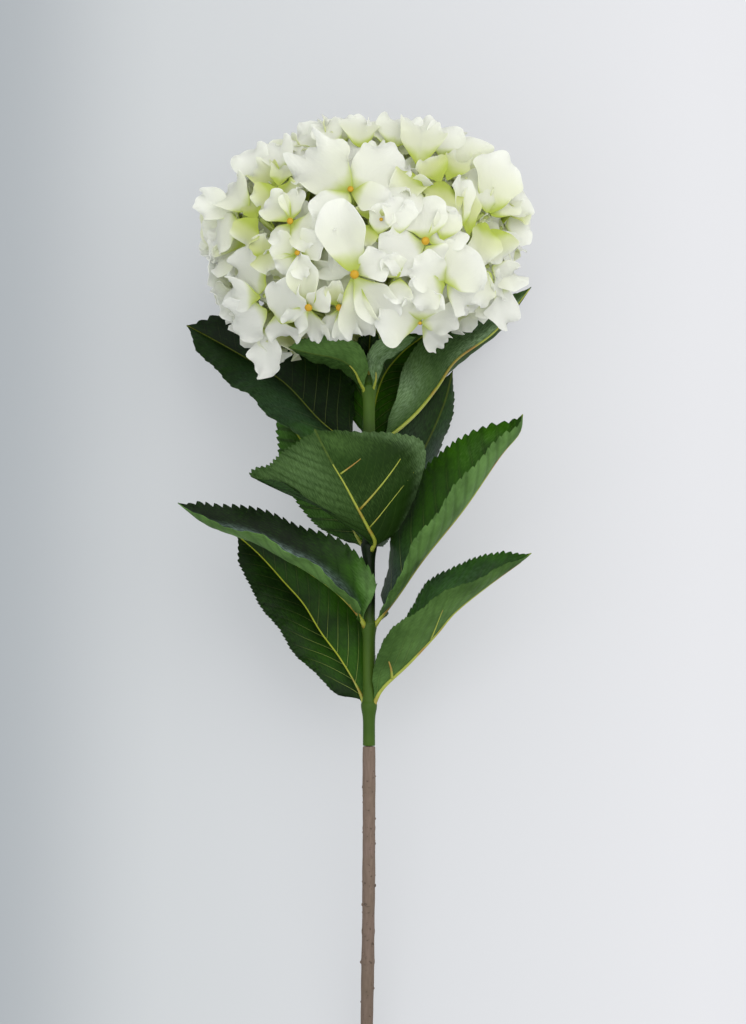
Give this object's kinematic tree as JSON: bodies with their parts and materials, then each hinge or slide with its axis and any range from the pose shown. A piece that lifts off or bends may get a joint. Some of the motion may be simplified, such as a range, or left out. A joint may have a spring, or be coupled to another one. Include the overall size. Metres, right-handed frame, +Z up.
{
  "type": "cut hydrangea",
  "caption": "Long-stemmed white mophead hydrangea bloom with serrated green leaves, cut and lying on its side.",
  "frame": {"origin": "on the surface that the stem lies on, under the flat floret that the head rests on, close beside its middle", "axes": "+Z up from the surface, +Y along the stem from its cut end towards the head, +X to the right of the stem seen from above"},
  "size_m": [0.2144, 0.631, 0.1925],
  "materials": {
    "petal": "soft matt woven petal, white with a green-yellow heart",
    "leaf": "satin printed leaf, darker above than beneath",
    "green_stem": "satin moulded green",
    "brown_stem": "rough bark-like brown"
  },
  "bodies": {
    "root": {"flower_head": "petal", "stem_green": "green_stem", "stem_brown": "brown_stem", "leaf_1_left": "leaf", "leaf_1_right": "leaf", "leaf_1_top": "leaf", "leaf_2_left": "leaf", "leaf_2_right": "leaf", "leaf_2_back": "leaf", "leaf_3_front": "leaf", "leaf_3_right": "leaf", "leaf_3_left": "leaf", "leaf_4_left": "leaf", "leaf_4_right": "leaf", "leaf_5_left": "leaf", "leaf_5_right": "leaf"}
  },
  "joints": []
}
